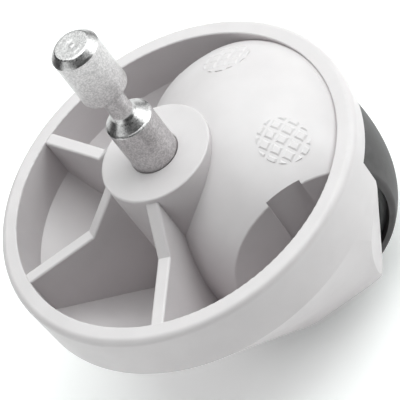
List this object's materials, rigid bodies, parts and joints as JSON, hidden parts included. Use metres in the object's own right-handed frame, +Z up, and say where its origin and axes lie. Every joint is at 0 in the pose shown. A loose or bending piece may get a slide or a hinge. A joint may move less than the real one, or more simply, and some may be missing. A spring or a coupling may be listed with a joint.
{
  "type": "swivel caster module",
  "caption": "Round swivel caster module: ribbed moulded housing with a wheel hood, a turned steel stem to pivot on, and a barrel-shaped rubber wheel.",
  "frame": {"origin": "on the stem's axis, in the top face of the boss, where the stem's free journal begins", "axes": "+Z up along the stem, +X towards the trailing wheel, the axle along Y"},
  "size_m": [0.0616, 0.0616, 0.0654],
  "materials": {
    "housing_plastic": "satin moulded ABS, light grey-white",
    "stem_steel": "bare turned steel with fine grain",
    "axle_steel": "ground steel pin",
    "hub_plastic": "black moulded nylon",
    "tyre_rubber": "dark grey rubber"
  },
  "bodies": {
    "stem": {"swivel_stem": "stem_steel"},
    "housing": {"caster_housing": "housing_plastic", "wheel_axle": "axle_steel"},
    "wheel": {"wheel_hub": "hub_plastic", "wheel_tyre": "tyre_rubber"}
  },
  "joints": [
    {"name": "swivel", "type": "hinge", "parent": "stem", "child": "housing", "pos_m": [0, 0, 0], "axis": [0, 0, 1], "continuous": true},
    {"name": "wheel_spin", "type": "hinge", "parent": "housing", "child": "wheel", "pos_m": [0.0128, 0, -0.0206], "axis": [0, 1, 0], "continuous": true}
  ]
}
